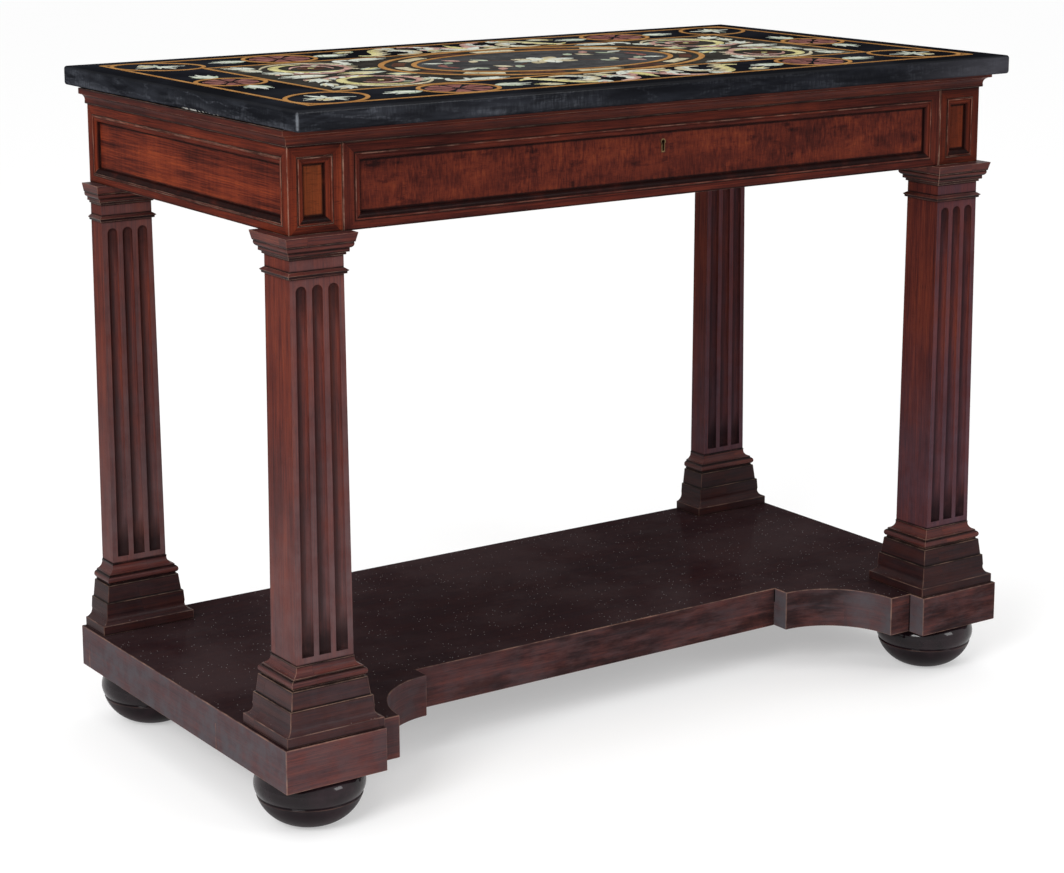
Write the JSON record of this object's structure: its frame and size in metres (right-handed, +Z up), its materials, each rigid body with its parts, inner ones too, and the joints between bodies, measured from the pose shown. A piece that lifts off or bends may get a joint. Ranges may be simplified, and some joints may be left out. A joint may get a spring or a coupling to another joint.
{
  "type": "pier table",
  "caption": "Pier table with an inlaid stone slab, a frieze with one long drawer, fluted columns and a hollow-fronted platform on turned bun feet.",
  "frame": {"origin": "on the floor, under the middle of the table", "axes": "+X along the table, +Z up, the drawer opens towards -Y"},
  "size_m": [1.156, 0.628, 0.88],
  "materials": {
    "stone": "gloss",
    "mahogany": "gloss",
    "secondary_wood": "matte",
    "ebonised": "gloss",
    "brass": "satin",
    "iron": "matte",
    "steel": "satin"
  },
  "bodies": {
    "carcass": {"marble_slab": "stone", "bed_moulding_front": "mahogany", "bed_moulding_left": "mahogany", "bed_moulding_right": "mahogany", "shaft_front_left": "mahogany", "astragal_front_left": "mahogany", "capital_front_left": "mahogany", "base_torus_front_left": "mahogany", "base_plinth_front_left": "mahogany", "shaft_front_right": "mahogany", "astragal_front_right": "mahogany", "capital_front_right": "mahogany", "base_torus_front_right": "mahogany", "base_plinth_front_right": "mahogany", "shaft_back_left": "mahogany", "astragal_back_left": "mahogany", "capital_back_left": "mahogany", "base_torus_back_left": "mahogany", "base_plinth_back_left": "mahogany", "shaft_back_right": "mahogany", "astragal_back_right": "mahogany", "capital_back_right": "mahogany", "base_torus_back_right": "mahogany", "base_plinth_back_right": "mahogany", "front_post_left": "mahogany", "post_panel_moulding_left": "mahogany", "side_rail_left": "mahogany", "side_panel_moulding_left": "mahogany", "back_post_left": "secondary_wood", "front_post_right": "mahogany", "post_panel_moulding_right": "mahogany", "side_rail_right": "mahogany", "side_panel_moulding_right": "mahogany", "back_post_right": "secondary_wood", "back_rail": "secondary_wood", "front_top_rail": "secondary_wood", "drawer_blade": "secondary_wood", "drawer_runners": "secondary_wood", "drawer_kickers": "secondary_wood", "platform_deck": "mahogany", "platform_corner_left": "mahogany", "platform_corner_right": "mahogany", "platform_side_rail_left": "mahogany", "platform_side_rail_right": "mahogany", "platform_front_rail": "mahogany", "platform_back_rail": "mahogany", "foot_blocks": "secondary_wood", "foot_front_left": "ebonised", "foot_front_right": "ebonised", "foot_back_left": "ebonised", "foot_back_right": "ebonised"},
    "drawer": {"drawer_front": "mahogany", "drawer_panel_moulding": "mahogany", "keyhole_escutcheon": "brass", "drawer_side_left": "secondary_wood", "drawer_side_right": "secondary_wood", "drawer_bottom": "secondary_wood", "drawer_back": "secondary_wood", "lock_case": "iron"},
    "lock_bolt": {"lock_bolt": "steel"}
  },
  "joints": [
    {"name": "drawer_slide", "type": "slide", "parent": "carcass", "child": "drawer", "axis": [0, -1, 0], "range_m": [0, 0.32]},
    {"name": "lock_bolt_slide", "type": "slide", "parent": "drawer", "child": "lock_bolt", "axis": [0, 0, 1], "range_m": [0, 0.008]}
  ]
}
